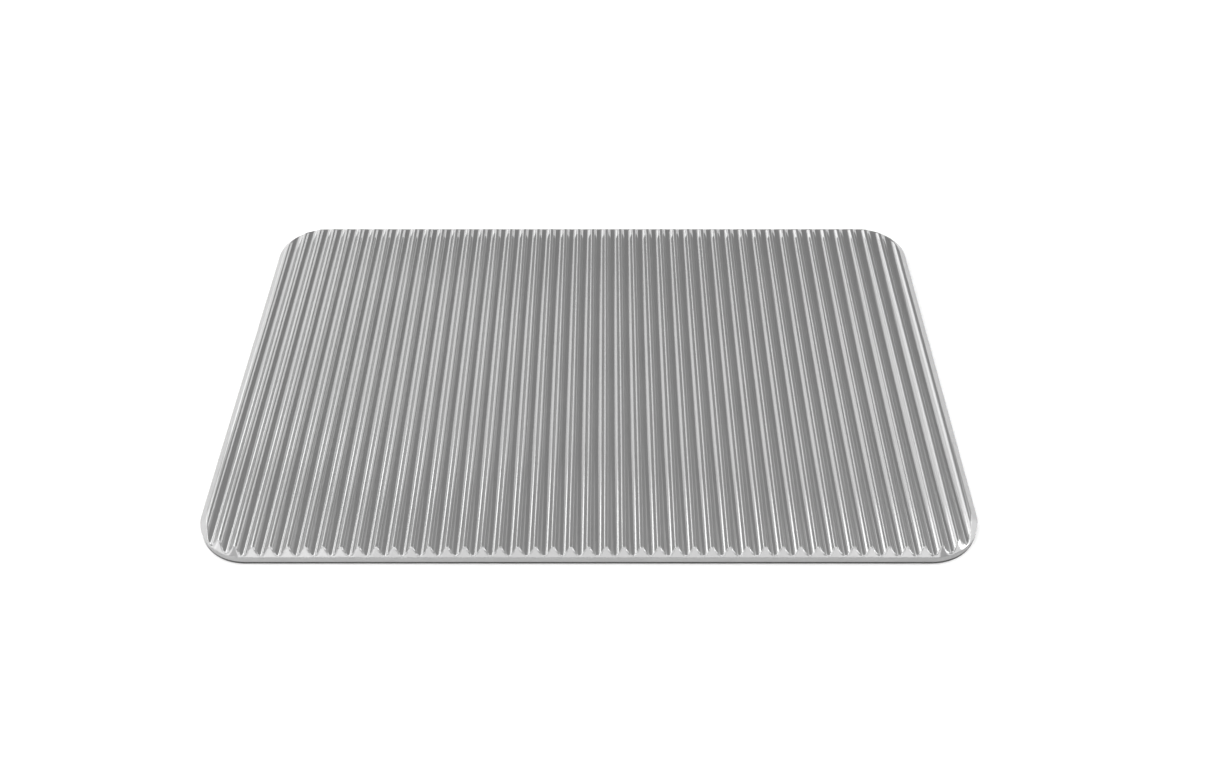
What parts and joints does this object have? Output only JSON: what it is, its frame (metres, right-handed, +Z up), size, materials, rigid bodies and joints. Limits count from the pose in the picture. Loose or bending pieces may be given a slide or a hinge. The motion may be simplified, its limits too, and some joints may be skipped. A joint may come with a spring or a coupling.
{
  "type": "anti fatigue mat",
  "caption": "Flat oblong standing mat with rounded corners, bevelled edges and straight parallel ridges that run from front to back.",
  "frame": {"origin": "centre of the mat's footprint, on the floor", "axes": "+X along the long side, +Y from the front edge to the back edge, along the ridges, +Z up"},
  "size_m": [0.762, 0.508, 0.0158],
  "materials": {
    "ribbed_top": "light grey moulded elastomer, satin, with a very fine even grain",
    "bond_film": "dark grey cured adhesive, dull",
    "foam_core": "mid grey closed-cell foam, matte, with a fine cell texture on its cut edge",
    "backing": "dark grey rubber, matte"
  },
  "bodies": {
    "root": {"ribbed_top": "ribbed_top", "top_bond_film": "bond_film", "foam_core": "foam_core", "base_bond_film": "bond_film", "non_slip_base": "backing"}
  },
  "joints": []
}
